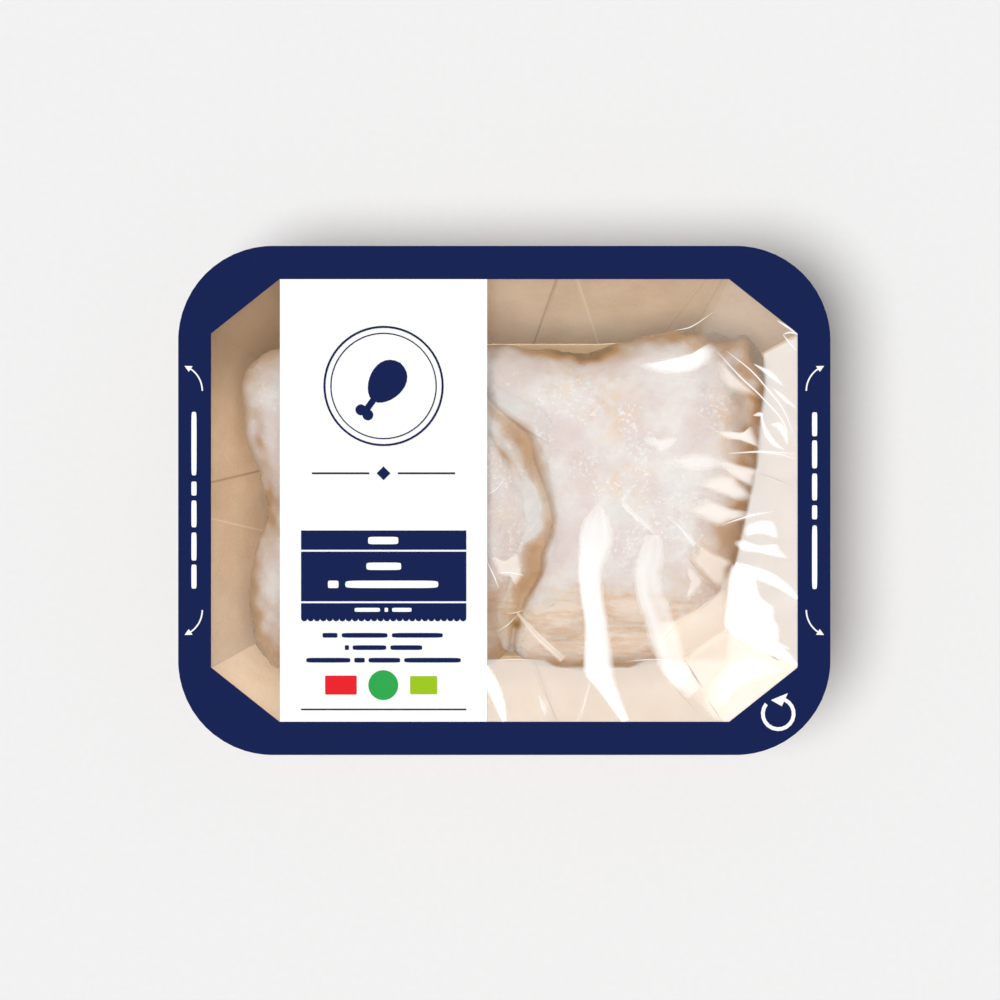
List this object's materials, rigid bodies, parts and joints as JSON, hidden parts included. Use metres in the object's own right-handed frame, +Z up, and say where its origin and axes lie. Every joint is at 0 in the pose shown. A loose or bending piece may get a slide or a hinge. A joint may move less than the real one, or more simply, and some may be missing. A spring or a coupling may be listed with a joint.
{
  "type": "tray pack of raw chicken thighs",
  "caption": "Sealed retail pack: a folded kraft board tray with a flange, raw skin-on chicken thighs inside, and a clear printed lid film.",
  "frame": {"origin": "middle of the tray's underside, on the surface that it rests on", "axes": "+X along the pack's long side, to the right in the picture; +Y across it, up in the picture; +Z up through the lid film"},
  "size_m": [0.228, 0.178, 0.051],
  "materials": {
    "kraft_board": "uncoated kraft board, matte, with fine fibres",
    "chicken_skin": "raw poultry skin, pale pink, moist, with yellow fat and bare flesh",
    "clear_film": "clear glossy lidding film with folds",
    "navy_print": "navy ink on film, satin gloss",
    "white_print": "opaque white ink on film, satin gloss",
    "red_print": "red ink",
    "green_print": "green ink",
    "lime_print": "lime ink"
  },
  "bodies": {
    "root": {"tray": "kraft_board", "thigh_left": "chicken_skin", "thigh_right": "chicken_skin", "lid_film": "clear_film", "print_border": "navy_print", "label_band": "white_print", "emblem_ring_outer": "navy_print", "emblem_ring_inner": "navy_print", "emblem_drumstick": "navy_print", "divider_line_left": "navy_print", "divider_line_right": "navy_print", "divider_diamond": "navy_print", "title_bar_upper": "navy_print", "title_bar_middle": "navy_print", "title_bar_scalloped": "navy_print", "text_row_1": "navy_print", "text_row_2": "navy_print", "text_row_3": "navy_print", "rule_line": "navy_print", "badge_red": "red_print", "badge_green": "green_print", "badge_lime": "lime_print", "side_row_left": "white_print", "side_arrow_left_high": "white_print", "side_arrow_left_low": "white_print", "side_row_right": "white_print", "side_arrow_right_high": "white_print", "side_arrow_right_low": "white_print", "peel_arrow": "white_print"}
  },
  "joints": []
}
